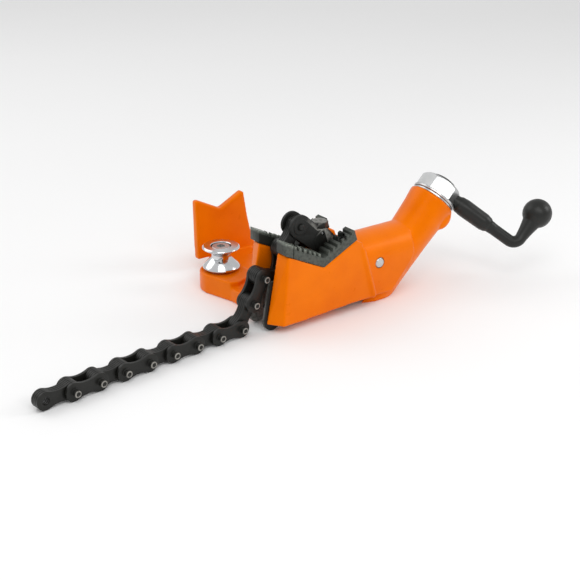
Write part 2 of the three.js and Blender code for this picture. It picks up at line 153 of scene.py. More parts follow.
def bump(tree, layers):
    """Bump layers, coarse first, each (height socket, strength, distance in mm)."""
    normal = None
    for height, strength, distance in layers:
        inputs = {"Height": height, "Strength": strength, "Distance": distance * MM}
        if normal is not None:
            inputs["Normal"] = normal
        normal = add_node(tree, "ShaderNodeBump", inputs).outputs["Normal"]
    return normal


def orange_enamel(colours):
    """Glossy orange enamel over sand-cast iron: it pools, has a fine peel and a soft cast ripple."""
    material, tree, shader, place = new_material("orange_enamel_on_cast_iron")
    pool = spread(tree, noise(tree, place, 22.0, 3.0), 0.35, 0.68)
    # Specks near 1 mm, pooling near 45 mm, mould ripple near 10 mm. Real orange peel is near 1 mm, and
    # is drawn at 1.6 mm so that it shows.
    speck = spread(tree, noise(tree, place, 900.0, 2.0), 0.62, 0.74)
    colour = blend(tree, pool, opaque(colours.enamel), opaque(colours.enamel_deep))
    dusted = blend(tree, spread(tree, speck, 0, 1, 0, 0.12), colour, opaque(linear("#8F3F05")))
    rough = spread(tree, noise(tree, place, 120.0, 4.0), 0.3, 0.7, 0.27, 0.4)
    ripple = noise(tree, place, 95.0, 3.0)
    peel = noise(tree, place, 620.0, 2.0)
    connect(tree, shader, Base_Color=dusted, Roughness=rough, Coat_Weight=0.05, Coat_Roughness=0.16,
            Specular_IOR_Level=0.5, Specular_Tint=opaque(linear("#FF8A10")),
            Normal=bump(tree, [(ripple, 0.35, 0.5), (peel, 0.22, 0.08)]))
    return material


def dark_steel(name, base, light, rough, metallic, grain=260.0, ripple=0.25):
    """Blackened or phosphated steel: mottled, finely grained, and bright where its attribute says, from
    rub wear and on some pieces painted light.
    """
    material, tree, shader, place = new_material(name)
    # Mottling near 14 mm. A real blackened surface has grain under 0.1 mm, drawn at 1 to 4 mm to show.
    mottle = spread(tree, noise(tree, place, 70.0, 5.0, 0.6), 0.35, 0.7)
    fine = noise(tree, place, grain * 4, 3.0, 0.6)
    body = blend(tree, mottle, opaque(base), opaque([0.72 * c for c in base]))
    # Brightened where the attribute says: rub wear, and on the jaws' teeth and the bolt head's top a
    # painted highlight.
    rub_and_light = add_node(tree, "ShaderNodeMath", {
        0: wear_and_light_amount(tree), 1: spread(tree, noise(tree, place, 420.0), 0.3, 0.6, 0.35, 1.0)},
        operation="MULTIPLY").outputs[0]
    colour = blend(tree, rub_and_light, body, opaque(light))
    roughness = spread(tree, mottle, 0, 1, rough, rough + 0.13)
    lustre = add_node(tree, "ShaderNodeMath", {0: roughness, 1: spread(tree, rub_and_light, 0, 1, 0, 0.14)},
                      operation="SUBTRACT").outputs[0]
    connect(tree, shader, Base_Color=colour, Roughness=lustre, Metallic=metallic, Specular_IOR_Level=0.4,
            Normal=bump(tree, [(noise(tree, place, grain, 4.0), ripple, 0.12), (fine, 0.25, 0.03)]))
    return material


def turned_metal(name, colour, rough, frame_place=None, tilt=0.0, rings=1500.0, depth=0.02):
    """Metal turned on a lathe: fine rings round its own axis, with faint handling smudges."""
    material, tree, shader, place = new_material(name)
    local = add_node(tree, "ShaderNodeMapping", {
        "Vector": place, "Location": Vector(frame_place or (0, 0, 0)) * MM, "Rotation": (0, tilt, 0)},
        vector_type="TEXTURE").outputs["Vector"]
    # Real feed rings are near 0.1 mm apart, and are drawn 0.2 to 1 mm apart so that they show.
    ring = add_node(tree, "ShaderNodeTexWave", {
        "Vector": local, "Scale": rings, "Distortion": 1.2, "Detail": 2.0},
        wave_type="RINGS", rings_direction="Z").outputs["Fac"]
    smudge = spread(tree, noise(tree, place, 60.0, 4.0), 0.35, 0.7)
    tint = blend(tree, smudge, opaque(colour), opaque([0.8 * c for c in colour]))
    roughness = spread(tree, smudge, 0, 1, rough, rough + 0.09)
    connect(tree, shader, Base_Color=tint, Roughness=roughness, Metallic=1.0,
            Normal=bump(tree, [(ring, 0.35, depth)]))
    return material


MAKERS = {
    # Stoved enamel on cast iron, even and glossy over a slightly wavy skin.
    "orange": orange_enamel,
    # Zinc-phosphated, hardened jaw steel, lighter on the outer face and bright on the tips of the left
    # limb's teeth: rub wear on the tips, kept to the lit left limb as a painted highlight.
    "jaw": lambda c: dark_steel("phosphated_jaw_steel", c.jaw, linear("#868C83"), 0.46, 0.25),
    # Oiled black-oxide chain plates, with bright rings on the riveted ends.
    "chain": lambda c: dark_steel("oiled_chain_steel", c.chain, linear("#A09D96"), 0.36, 0.15, 180.0),
    # Black-oxide steel of the end block, hooks and screws: near black with a dull sheen.
    "black": lambda c: dark_steel("black_oxide_steel", c.black, linear("#A3A29C"), 0.4, 0.15),
    # Forged crank under satin black paint, with soft broad highlights.
    "crank": lambda c: dark_steel("satin_black_forging", c.crank, linear("#55565A"), 0.33, 0.0, 90.0, 0.4),
    # Hub nut and washer, turned about the barrel: a silky, slightly streaked shine.
    "hub": lambda c: turned_metal("satin_turned_hub_steel", c.bright, 0.27, BARREL.translation,
                                  math.radians(45), 1100.0, 0.03),
    # Plain machined pins and the draw screw, a little sharper in their shine.
    "bright": lambda c: turned_metal("machined_bright_steel", c.bright, 0.24, (71, 0, 42.5)),
    # Polished chromium plate of the bending roller, almost a mirror.
    "chrome": lambda c: turned_metal("polished_chromium_plate", c.chrome, 0.1, (*ROLLER, 0), 0.0,
                                     300.0, 0.002),
    # Bearing bronze of the barrel bush, warm and dull.
    "bronze": lambda c: turned_metal("bearing_bronze", linear("#B08D57"), 0.3, BARREL.translation,
                                     math.radians(45)),
}
_finishes = {}


def finish_of(key):
    if key not in _finishes:
        _finishes[key] = MAKERS[key](bpy.context.scene.vise_colours)
    return _finishes[key]


# ------------------------------------------------------------------ mesh helpers
def from_bmesh(name, bm):
    """A linked object in metres, with doubles merged and faces turned outwards."""
    bmesh.ops.remove_doubles(bm, verts=bm.verts, dist=1e-4)
    bmesh.ops.recalc_face_normals(bm, faces=bm.faces)
    bmesh.ops.scale(bm, vec=(MM,) * 3, verts=bm.verts)
    mesh = bpy.data.meshes.new(name)
    bm.to_mesh(mesh)
    bm.free()
    obj = bpy.data.objects.new(name, mesh)
    bpy.context.scene.collection.objects.link(obj)
    return obj


def skin(name, rings):
    """A solid skinned over rings of equal count, each a list of (x, y, z)."""
    bm = bmesh.new()
    made = [[bm.verts.new(p) for p in ring] for ring in rings]
    count = len(rings[0])
    for low, high in zip(made, made[1:]):
        for i in range(count):
            j = (i + 1) % count
            bm.faces.new((low[i], low[j], high[j], high[i]))
    bm.faces.new(made[0][::-1])
    bm.faces.new(made[-1])
    return from_bmesh(name, bm)


def slab(name, outline, y0, y1, far_outline=None):
    """An outline in X and Z given thickness along Y."""
    return skin(name, [[(x, y0, z) for x, z in outline], [(x, y1, z) for x, z in far_outline or outline]])


def plate(name, outline, z0, z1):
    """An outline in X and Y given height."""
    return skin(name, [[(x, y, z0) for x, y in outline], [(x, y, z1) for x, y in outline]])


def turned(name, profile, steps=96, place=None):
    """(radius, height) pairs turned about Z; a ring profile closes on itself, others end on the axis."""
    bm = bmesh.new()
    hollow = profile[0][0] > 0
    rows = []
    for r, z in profile:
        if r == 0:
            rows.append([bm.verts.new((0, 0, z))] * steps)
        else:
            angles = [2 * math.pi * i / steps for i in range(steps)]
            rows.append([bm.verts.new((r * math.cos(a), r * math.sin(a), z)) for a in angles])
    if hollow:
        rows.append(rows[0])
    for low, high in zip(rows, rows[1:]):
        for i in range(steps):
            j = (i + 1) % steps
            corners = []
            for v in (low[i], low[j], high[j], high[i]):
                if v not in corners:
                    corners.append(v)
            if len(corners) > 2:
                bm.faces.new(corners)
    if place is not None:
        bmesh.ops.transform(bm, matrix=place, verts=bm.verts)
    return from_bmesh(name, bm)


def rod(name, r, z0, z1, place=None, steps=64, chamfer=0.0):
    c = chamfer
    profile = [(0, z0), (r - c, z0), (r, z0 + c), (r, z1 - c), (r - c, z1), (0, z1)]
    return turned(name, profile if c else [(0, z0), (r, z0), (r, z1), (0, z1)], steps, place)


def across(x, z):
    """The place of a turned piece that lies along Y at (x, z)."""
    return Matrix.Translation((x, 0, z)) @ Matrix.Rotation(math.radians(-90), 4, "X")


def upright(x, y, z=0.0):
    return Matrix.Translation((x, y, z))


def arc(x, z, r, start, end, steps):
    turn = [math.radians(start + (end - start) * i / steps) for i in range(steps + 1)]
    return [(x + r * math.cos(a), z + r * math.sin(a)) for a in turn]


def belt(x0, z0, r0, x1, z1, r1, steps=24):
    """The outline round two circles, as a belt lies round two pulleys."""
    along = math.degrees(math.atan2(z1 - z0, x1 - x0))
    lean = math.degrees(math.acos((r0 - r1) / math.hypot(x1 - x0, z1 - z0)))
    return [*arc(x0, z0, r0, along + lean, along + 360 - lean, steps),
            *arc(x1, z1, r1, along - lean, along + lean, steps)]


def settle(obj):
    """Replaces an object by the plain mesh that its modifiers give."""
    bpy.context.view_layer.update()
    graph = bpy.context.evaluated_depsgraph_get()
    mesh = bpy.data.meshes.new_from_object(obj.evaluated_get(graph))
    name = obj.name
    bpy.data.objects.remove(obj)
    mesh.name = name
    fresh = bpy.data.objects.new(name, mesh)
    bpy.context.scene.collection.objects.link(fresh)
    return fresh


def boolean(obj, tools, operation):
    for tool in tools:
        step = obj.modifiers.new("step", "BOOLEAN")
        step.operation, step.solver, step.object = operation, "MANIFOLD", tool
    obj = settle(obj)
    for tool in tools:
        bpy.data.objects.remove(tool)
    if not obj.data.polygons:
        raise RuntimeError(f"{obj.name} came out empty")
    return obj


def joined(obj, *tools):
    return boolean(obj, tools, "UNION")


def cut(obj, *tools):
    return boolean(obj, tools, "DIFFERENCE")


def rounded(obj, width, segments=2, angle=32.0):
    edge = obj.modifiers.new("round", "BEVEL")
    edge.width, edge.segments, edge.limit_method = width * MM, segments, "ANGLE"
    edge.angle_limit = math.radians(angle)
    return settle(obj)


def placed(obj, matrix):
    """Moves the mesh itself, so that the object stays at the origin; matrix is in millimetres."""
    obj.data.transform(Matrix.Scale(MM, 4) @ matrix @ Matrix.Scale(1 / MM, 4))
    return obj


def mark_wear_and_light(obj, rule):
    """Stores how bright each corner is, from rub wear and on some pieces painted light, by a rule on its
    place in millimetres.
    """
    layer = obj.data.attributes.new("wear_and_light", "FLOAT", "POINT")
    for vertex, item in zip(obj.data.vertices, layer.data):
        item.value = min(1.0, max(0.0, rule(*(vertex.co / MM))))
    return obj


def finished(obj, finish, body, slot, *nodes, angle=32.0):
    """Gives a piece its finish, its body and the CAD nodes that it stands for."""
    bm = bmesh.new()
    bm.from_mesh(obj.data)
    bmesh.ops.remove_doubles(bm, verts=bm.verts, dist=1e-7)
    bmesh.ops.recalc_face_normals(bm, faces=bm.faces)
    bm.to_mesh(obj.data)
    bm.free()
    obj.data.materials.clear()
    obj.data.materials.append(finish_of(finish))
    obj.data.shade_smooth()
    obj.data.set_sharp_from_angle(angle=math.radians(angle))
    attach(obj, body)
    if nodes:
        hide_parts(*nodes)
    return obj


def softened(node, width):
    """A copy of a CAD node with its corners merged and its edges eased."""
    bm = bmesh.new()
    bm.from_mesh(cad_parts[node].data)
    bmesh.ops.remove_doubles(bm, verts=bm.verts, dist=1e-6)
    bmesh.ops.dissolve_limit(bm, angle_limit=math.radians(0.5), verts=bm.verts, edges=bm.edges)
    mesh = bpy.data.meshes.new(node + "_piece")
    bm.to_mesh(mesh)
    bm.free()
    obj = bpy.data.objects.new(node + "_piece", mesh)
    bpy.context.scene.collection.objects.link(obj)
    return rounded(obj, width, 2)


# ------------------------------------------------------------------ geometry node trees
def new_tree(name, inputs):
    tree = bpy.data.node_groups.new(name, "GeometryNodeTree")
    tree.interface.new_socket("Geometry", in_out="INPUT", socket_type="NodeSocketGeometry")
    for label, kind, default in inputs:
        socket = tree.interface.new_socket(label, in_out="INPUT", socket_type=kind)
        if default is not None:
            socket.default_value = default
    tree.interface.new_socket("Geometry", in_out="OUTPUT", socket_type="NodeSocketGeometry")
    return tree, tree.nodes.new("NodeGroupInput").outputs


def close_tree(tree, geometry, material):
    """Every tree ends in Realize Instances and Set Material."""
    real = add_node(tree, "GeometryNodeRealizeInstances", {"Geometry": geometry}).outputs["Geometry"]
    painted = add_node(tree, "GeometryNodeSetMaterial", {"Geometry": real, "Material": material})
    out = tree.nodes.new("NodeGroupOutput")
    tree.links.new(painted.outputs["Geometry"], out.inputs["Geometry"])
    return tree


def row_tree():
    """Copies one piece in a straight row."""
    tree, given = new_tree("Row of like pieces", [
        ("Count", "NodeSocketInt", 4), ("Start", "NodeSocketVector", (0, 0, 0)),
        ("Step", "NodeSocketVector", (0, 0.001, 0)), ("Finish", "NodeSocketMaterial", None)])
    line = add_node(tree, "GeometryNodeMeshLine", {
        "Count": given["Count"], "Start Location": given["Start"], "Offset": given["Step"]}, mode="OFFSET")
    copies = add_node(tree, "GeometryNodeInstanceOnPoints", {
        "Points": line.outputs["Mesh"], "Instance": given["Geometry"]})
    return close_tree(tree, copies.outputs["Instances"], given["Finish"])


def sweep_tree():
    """Sweeps a round section along a path whose points carry its radius in metres."""
    tree, given = new_tree("Forged round bar", [
        ("Sides", "NodeSocketInt", 40), ("Finish", "NodeSocketMaterial", None)])
    ring = add_node(tree, "GeometryNodeCurvePrimitiveCircle", {
        "Resolution": given["Sides"], "Radius": 1.0}, mode="RADIUS")
    radius = add_node(tree, "GeometryNodeInputRadius")
    bar = add_node(tree, "GeometryNodeCurveToMesh", {
        "Curve": given["Geometry"], "Profile Curve": ring.outputs["Curve"],
        "Scale": radius.outputs["Radius"], "Fill Caps": True})
    return close_tree(tree, bar.outputs["Mesh"], given["Finish"])


_trees = {}


def grown(obj, maker, **values):
    """Runs a node tree on a piece, with its inputs set by identifier, and keeps the plain mesh."""
    if maker.__name__ not in _trees:
        _trees[maker.__name__] = maker()
    tree = _trees[maker.__name__]
    step = obj.modifiers.new(tree.name, "NODES")
    step.node_group = tree
    for item in tree.interface.items_tree:
        if item.in_out == "INPUT" and item.name in values:
            step[item.identifier] = values[item.name]
    return settle(obj)


def row(obj, count, start, step, finish):
    return grown(obj, row_tree, Count=count, Start=[MM * v for v in start], Step=[MM * v for v in step],
                 Finish=finish_of(finish))


# ------------------------------------------------------------------ the casting
def seat(x):
    return SEAT_Z + SLOPE * abs(x)


def root(x):
    return ROOT_Z + SLOPE * abs(x)


def cheek(side):
    """One cheek, whose left face flares out towards the channel and whose right edge is a soft bead."""
    right = [(-26, 7.8), (36, 10.2), (63, 10), (46, 70), (38, seat(38)), (0, SEAT_Z)]
    outer = [(-46.3, 7.4), *right, (-40.6, seat(40.6))]
    inner = [(-56.6, 8), *right, (-43.8, seat(43.8))]
    wall = slab("cheek", outer, side * CHEEK_OUT, side * CHEEK_IN, inner)
    low, high = Vector((61.8, side * 26.6, 12)), Vector((47.0, side * 26.6, 62))
    lean = (high - low).to_track_quat("Z", "Y").to_matrix().to_4x4()
    length = (high - low).length
    bead = turned("bead", [(0, -3), (2.2, -2.2), (3.4, 0), (3.0, length), (1.8, length + 2),
                           (0, length + 3)], 24, Matrix.Translation(low) @ lean)
    return joined(wall, bead)


def neck():
    turns = [math.pi * i / 24 for i in range(25)]
    crown = [(NECK_HALF * math.cos(a), 44 + 25 * math.sin(a)) for a in turns]
    section = [(-NECK_HALF, 9), (NECK_HALF, 9), *crown]
    bar = skin("neck", [[(x, y, z) for y, z in section] for x in (36, 116)])
    keep = slab("keep", [(30, -5), (78, -5), (86, 5), (112, 34), (118, 46), (118, 90), (30, 90)], -40, 40)
    return boolean(bar, [keep], "INTERSECT")


def channel():
    return slab("channel", [
        (-90, -5), (-26, -5), (-26, 16), (26, 16), (26, -5), (95, -5), (96, -1), (120, 23), (100, 43),
        (84, 55), (58, 55), (40, 74), (40, 140), (-90, 140)], -CHEEK_IN, CHEEK_IN)


def pipe_rest():
    notch = [(28.8, 76.5), (27, 78), (24.5, 77), (1, 65), (-1, 65), (-25.5, 77.5), (-28.5, 78.2),
             (-30.5, 76.5)]
    right_edge = [(-12, 4), (40, 4), (42, 18), (36.5, 34.5), (33, 50)]
    return slab("rest", [*right_edge, *notch, (-29.5, 14), (-12, 14)], 146, 154)


def rough_casting(sizes):
    """The casting as it leaves the mould: every shape joined, then its edges melted soft."""
    body = turned("casting", [(0, -150), (20.6, -150), (20.6, -80), (21.6, -45), (23, -15), (24.2, -3),
                              (24.2, 0), (0, 0)], 128, BARREL)
    round_edge = arc(*ROLLER, 22, 200, 118, 20)
    flange = plate("flange", [(48, 20), (-42, 20), (-44, 64), *round_edge, (-13, 140), (-13, 153),
                              (34, 153), (44, 128)], 0, 14)
    boss = plate("boss", [(-36, 62), (-44, 64), *arc(*ROLLER, 22, 200, 0, 40), (-9, 72)], 0, 20)
    lump = turned("lump", [(0, -11), *[(6.4 * math.sin(math.radians(a)), -11 * math.cos(math.radians(a)))
                                       for a in range(15, 180, 15)], (0, 11)], 32,
                  BARREL @ Matrix.Translation((13.2, -16.6, -11.5)))
    elbow = turned("elbow", [(0, -24), *[(24 * math.sin(math.radians(a)), -24 * math.cos(math.radians(a)))
                                         for a in range(10, 180, 10)], (0, 24)], 48, upright(97, 0, 30))
    body = joined(body, cheek(1), cheek(-1), neck(), flange, boss, pipe_rest(), lump, elbow)
    below = slab("below", [(-120, -200), (260, -200), (260, 0), (-120, 0)], -90, 240)
    body = cut(body, below, channel())
    web = slab("web", [(-24, 8), (24, 8), (24, 15.7), (-24, 15.7)], -16, 16)
    foot = slab("foot", [(-18, 0), (18, 0), (18, 9), (-18, 9)], -9, 9)
    body = joined(body, web, foot)
    skin_step = body.modifiers.new("sand mould", "REMESH")
    skin_step.mode, skin_step.voxel_size = "VOXEL", sizes.cast_grain
    melt = body.modifiers.new("soft edges", "SMOOTH")
    melt.factor, melt.iterations = 0.5, sizes.cast_softness
    thin = body.modifiers.new("thin", "DECIMATE")
    thin.ratio = 0.42
    return settle(body)


def on_limb(x, side):
    """A place square to one limb of the V, on the line of the tooth roots."""
    lean = math.copysign(math.atan(SLOPE), x)
    return Matrix.Translation((x, side * 21, root(x))) @ Matrix.Rotation(-lean, 4, "Y")


def jaw_screw_tool(x, side, r, low, high):
    return rod("tool", r, low, high, on_limb(x, side), 32)


def machined_casting(sizes):
    """The machined faces and holes, cut sharp into the painted casting."""
    body = rough_casting(sizes)
    over = [(-60, seat(60)), (0, SEAT_Z), (42, seat(42)), (42, 130), (-60, 130)]
    tools = [slab("seat", over, y0, y1) for y0, y1 in ((-34, -10), (10, 34))]
    tools += [rod("bore", 14.3, -72, 3, BARREL), rod("bush", 15.8, -30, 3, BARREL),
              turned("lead", [(0, -1.2), (15.8, -1.2), (18.0, 1), (0, 1)], 96, BARREL),
              rod("pin", 5.6, -40, 40, across(*GUIDE_PIN)), rod("seat", 6.3, -2, 40, upright(*ROLLER))]
    tools += [rod("bolt", 5.5, -2, 40, upright(x, y)) for x, y in BOLT_HOLES]
    tools += [rod("face", 9.5, 13.6, 30, upright(x, y)) for x, y in BOLT_HOLES[:2]]
    tools += [rod("face", 11.6, 19.8, 40, upright(*ROLLER))]
    tools += [jaw_screw_tool(x, side, 2.8, -14, 30) for x in JAW_SCREWS.values() for side in (-1, 1)]
    return cut(body, *tools)


# ------------------------------------------------------------------ jaws and hooks
TOOTH_PITCH, TOOTH_WIDTH, TOOTH_HEIGHT = 5.5, 3.0, 3.4


def jaw(side):
    """A serrated V jaw: a plain body, two rows of square teeth and a solid block at each end."""
    y0, y1 = sorted((side * CHEEK_IN, side * CHEEK_OUT))
    ends = ((JAW_LEFT, -35.0), (32.2, JAW_RIGHT))
    play = 0.3
    body = slab("jaw", [(JAW_LEFT, seat(JAW_LEFT) + play), (0, SEAT_Z + play),
                        (JAW_RIGHT, seat(JAW_RIGHT) + play), (JAW_RIGHT, root(JAW_RIGHT)), (0, ROOT_Z),
                        (JAW_LEFT, root(JAW_LEFT))], y0, y1)
    parts = []
    for x0, x1 in ends:
        parts.append(slab("end", [(x0, root(x0) - 1), (x1, root(x1) - 1), (x1, root(x1) + TOOTH_HEIGHT),
                                  (x0, root(x0) + TOOTH_HEIGHT)], y0, y1))
    for sign, count in ((-1, 6), (1, 5)):
        lift = SLOPE * TOOTH_WIDTH
        a, b = sign * 4.0, sign * (4.0 + TOOTH_WIDTH)
        tooth = slab("tooth", [(a, root(a) - 1), (b, root(b) - 1),
                               (b - sign * 0.35, root(b) + TOOTH_HEIGHT - 0.15),
                               (a + sign * 0.35, root(a) + TOOTH_HEIGHT)], y0, y1)
        parts.append(row(tooth, count, (0, 0, 0), (sign * TOOTH_PITCH, 0, SLOPE * TOOTH_PITCH), "jaw"))
    body = joined(body, *parts)
    # The right end is cut square to its limb, and a little lower than the teeth.
    top = JAW_RIGHT - 4.2
    square_end = [(JAW_RIGHT, 72.0), (JAW_RIGHT, 75.5), (top, 88.0), (top, 95), (60, 95), (60, 72)]
    low_end = [(31, root(31) + 2.6), (60, root(60) + 2.6), (60, 110), (31, 110)]
    cuts = [slab("end", outline, y0 - 1, y1 + 1) for outline in (square_end, low_end)]
    groove = [(-35.6, 60), (-34.7, 60), (-34.7, 95), (-35.6, 95)]
    cuts.append(slab("groove", groove, *sorted((side * 25.6, side * 30))))
    for x in JAW_SCREWS.values():
        cuts += [jaw_screw_tool(x, side, 2.8, -16, 2), jaw_screw_tool(x, side, 4.7, -4.5, 30)]
    body = rounded(cut(body, *cuts), 0.22, 2)

    def rub_and_light(x, y, z):
        """Lighter on the outer face. The tips of the teeth are bright from rub wear, but only on the left
        limb: a painted highlight, with the right limb's tips left dark as painted shade.
        """
        tip = (z - root(x) - TOOTH_HEIGHT + 0.5) / 0.4
        return max(0.3 * (abs(y) > CHEEK_OUT - 0.05), (x < 0) * tip)
    return mark_wear_and_light(body, rub_and_light)


def hook(side):
    """A hardened plate with a rounded foot that the chain's pins catch behind."""
    outline = [(-50.5, 48), (-57.5, 12), *arc(-49, 9.6, 9, 190, 300, 24), (-38, 5),
               *arc(-46, 38, 10, 0, 90, 16)]
    y0, y1 = sorted((side * 9.6, side * 13.7))
    cuts = [rod("hole", 2.7, -20, 20, across(HOOK_SCREW_X, z)) for z in HOOK_SCREWS.values()]
    piece = rounded(cut(slab("hook", outline, y0, y1), *cuts), 0.7, 3)
    return mark_wear_and_light(piece, lambda x, y, z: (abs(y) < 10.3) * 0.5)


def socket_screw(place, r, low, head_top, head_r, head_low, key):
    """A socket screw on its own Z axis, with a hexagon recess in its head."""
    body = turned("screw", [(0, low), (r - 0.4, low), (r, low + 0.4), (r, head_low),
                            (head_r - 0.3, head_low), (head_r, head_low + 0.3), (head_r, head_top - 0.5),
                            (head_r - 0.5, head_top), (0, head_top)], 48)
    body = cut(body, rod("key", key, head_top - 2.4, head_top + 2, None, 6))
    return placed(body, place)


# ------------------------------------------------------------------ end block and draw bar
def along_bar(u, v):
    angle = math.radians(-45.7)
    return (ANCHOR[0] + u * math.cos(angle) - v * math.sin(angle),
            ANCHOR[1] + u * math.sin(angle) + v * math.cos(angle))


def end_block():
    """A fork with round cheeks over the first link, and a boss for the clamping bolt."""
    body = slab("block", belt(*ANCHOR, 11.3, 24, 62, 10, 40), -8.0, 8.0)
    disc = rod("disc", 7.8, -8.5, 8.5, across(*ANCHOR), 64, 0.4)
    swell = slab("swell", belt(14, 75, 10.4, 25, 62, 11, 32), -8.4, 8.4)
    body = joined(body, disc, swell)
    gap = slab("gap", [(-60, 30), (60, 30), along_bar(64, 6.7), along_bar(20, 6.7), (-1, 120),
                       (-60, 120)], -5.1, 5.1)
    at_bolt = upright(BLOCK_BOLT_X, 0)
    cuts = [gap, rod("face", 12, BLOCK_BOLT_SEAT, 120, at_bolt), rod("bolt", 3.8, 30, 120, at_bolt),
            rod("pin", 3.4, -20, 20, across(*ANCHOR)), rod("peg", 1.9, -20, 20, across(*BLOCK_PEG))]
    piece = rounded(cut(body, *cuts), 0.55, 3, 40)
    return mark_wear_and_light(piece, lambda x, y, z: 0.8 * (abs(z - BLOCK_BOLT_SEAT) < 0.3 and x > 5))


def hex_outline(across_flats, first_corner=30):
    r = across_flats / math.sqrt(3)
    turns = [math.radians(first_corner + 60 * i) for i in range(6)]
    return [(r * math.cos(a), r * math.sin(a)) for a in turns]


def hex_bolt():
    """Chamfered hexagon head on a plain shank."""
    head = plate("bolt", hex_outline(14.5), 85.3, 91)
    dome = turned("dome", [(0, 80), (9.4, 80), (9.4, 89.2), (6.9, 91), (0, 91)])
    head = boolean(head, [dome], "INTERSECT")
    bolt = joined(head, rod("shank", 3.5, 56, 86, None, 48, 0.4))
    bolt = rounded(bolt, 0.25, 2)
    # The top face of the head is painted lighter: a painted highlight where it faces the lamps.
    return mark_wear_and_light(placed(bolt, upright(BLOCK_BOLT_X, 0)), lambda x, y, z: 0.6 * (z > 90.5))


# ------------------------------------------------------------------ hub nut and crank
def hub_nut():
    """Chamfered hexagon with a thin collar, and the round mouth that the crank goes through."""
    low, high = NUT_LOW, NUT_HIGH
    hexagon = plate("nut", hex_outline(NUT_ACROSS, 0), low + 1, high)
    dome = turned("dome", [(0, low), (26, low), (26, high - 6), (18.8, high), (0, high)], 128)
    body = boolean(hexagon, [dome], "INTERSECT")
    collar = turned("collar", [(0, low), (22.9, low), (23.4, low + 0.5), (23.4, low + 1.9),
                               (22.9, low + 2.4), (0, low + 2.4)], 128)
    body = joined(body, collar, rod("spigot", 12.5, -34, low + 1, None, 96, 0.4))
    along_arm = Matrix.Translation((0, 0, ARM_RISE)) @ Matrix.Rotation(math.radians(90), 4, "Y")
    arm, mouth = rod("arm", 6.1, -9, 40, along_arm), rod("mouth", 7.45, 17.2, 40, along_arm)
    groove = turned("groove", [(11, -33), (14, -33), (14, -31), (11, -31)], 96)
    body = cut(body, rod("blind", 8.3, -50, 5), arm, mouth, groove, rod("lock", 2.3, 6.5, 40, None, 32))
    return placed(rounded(body, 0.3, 2, 28), CRANK)


def crank_path(sizes):
    """Points and radii of the crank: shank, thick root, arm, bend and ball."""
    rise, reach, bend, stem = ARM_RISE, 97.0, 9.0, 40.0
    ball, rod_r = sizes.ball_radius / MM, 6.0
    points = [(x, 0, rise) for x in [-8, -7.6, *range(-6, 88)]]
    points += [(reach - bend + bend * math.sin(a), 0, rise + bend * (1 - math.cos(a)))
               for a in [math.radians(90 * i / 18) for i in range(19)]]
    centre = rise + stem
    heights = [rise + bend + 0.8 + 0.9 * i for i in range(30)]
    base = centre - ball * 0.78
    points += [(reach, 0, z) for z in heights if z < base]
    points += [(reach, 0, centre - ball * math.cos(math.radians(a))) for a in range(42, 181, 4)]
    points.append((reach, 0, centre + ball))
    knots = [(-8, 5.4), (-7.4, rod_r), (17.4, rod_r), (18.2, 7.1), (22, 7.2), (26, 8.6), (32, 9.2),
             (56, 8.9), (60, 8.1), (64, 6.4), (70, rod_r), (90, rod_r)]

    def radius(point):
        x, _, z = point
        if z > base:
            return math.sqrt(max(ball ** 2 - (z - centre) ** 2, 1e-4))
        if z > rise + bend:
            t = (z - rise - bend) / (base - rise - bend)
            return rod_r + (math.sqrt(ball ** 2 - (base - centre) ** 2) - rod_r) * t ** 1.4
        for (x0, r0), (x1, r1) in zip(knots, knots[1:]):
            if x0 <= x <= x1:
                t = (x - x0) / (x1 - x0)
                return r0 + (r1 - r0) * t * t * (3 - 2 * t)
        return rod_r
    return [(p, radius(p)) for p in points]


def crank(sizes):
    """The crank is one forging, swept along its path."""
    path = bpy.data.curves.new("crank", "CURVE")
    path.dimensions = "3D"
    knots = crank_path(sizes)
    spline = path.splines.new("POLY")
    spline.points.add(len(knots) - 1)
    for point, (place, radius) in zip(spline.points, knots):
        point.co = (*[MM * v for v in place], 1)
        point.radius = radius * MM
    obj = bpy.data.objects.new("crank", path)
    bpy.context.scene.collection.objects.link(obj)
    bar = grown(obj, sweep_tree, Sides=48, Finish=finish_of("crank"))
    return placed(cut(bar, rod("lock", 2.3, -8, 40, None, 24)), CRANK)


# ------------------------------------------------------------------ chain
def link_outline(sizes):
    """A waisted plate from one pin to the next, drawn along -X."""
    pitch, end, waist = sizes.chain_pitch / MM, 8.2, 5.6
    half = pitch / 2
    hollow = (half ** 2 + waist ** 2 - end ** 2) / (2 * (end - waist))
    touch = math.degrees(math.atan2(hollow + waist, half))
    return [*arc(0, 0, end, touch - 180, 180 - touch, 26),
            *arc(-half, hollow + waist, hollow, -touch, touch - 180, 12)[1:-1],
            *arc(-pitch, 0, end, touch, 360 - touch, 26),
            *arc(-half, -hollow - waist, hollow, 180 - touch, touch, 12)[1:-1]]


def link_plate(sizes, y0, y1, hole, edge):
    pitch = sizes.chain_pitch / MM
    piece = slab("plate", link_outline(sizes), y0, y1)
    piece = cut(piece, *[rod("hole", hole, -20, 20, across(x, 0), 40) for x in (0, -pitch)])
    return rounded(piece, edge, 2, 40)


def inner_link(sizes):
    """A stack of thin plates, held apart by the width of their burrs."""
    count = sizes.laminations
    step = 9.6 / count
    leaf = link_plate(sizes, -4.8 + 0.22, -4.8 + step - 0.22, 3.5, 0.55)
    return row(leaf, count, (0, 0, 0), (0, step, 0), "chain")


